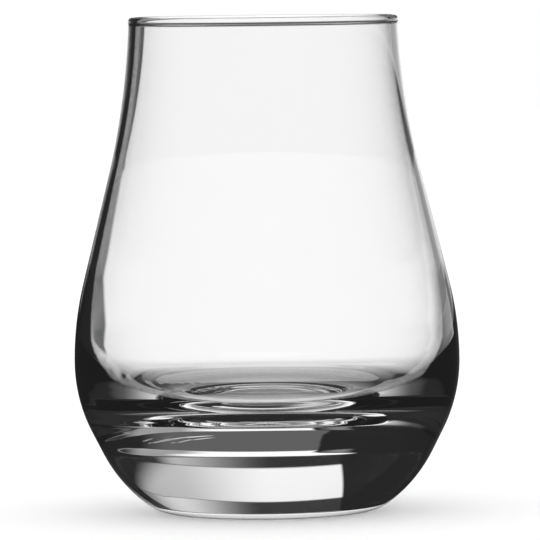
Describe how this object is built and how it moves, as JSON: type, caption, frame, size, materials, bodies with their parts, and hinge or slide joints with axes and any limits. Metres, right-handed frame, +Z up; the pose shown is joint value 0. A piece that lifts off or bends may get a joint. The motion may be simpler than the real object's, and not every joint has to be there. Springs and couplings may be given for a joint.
{
  "type": "whisky nosing glass",
  "caption": "Stemless nosing glass with a narrow fire-polished mouth, a rounded bowl and a thick solid base that is hollowed underneath.",
  "frame": {"origin": "on the table, at the centre of the ring that the glass stands on", "axes": "+Z up the axis that the glass is turned about; X and Y are any two directions square to it"},
  "size_m": [0.0622, 0.0622, 0.08],
  "materials": {
    "clear_glass": "fire-polished, clear and neutral"
  },
  "bodies": {
    "root": {"nosing_glass": "clear_glass"}
  },
  "joints": []
}
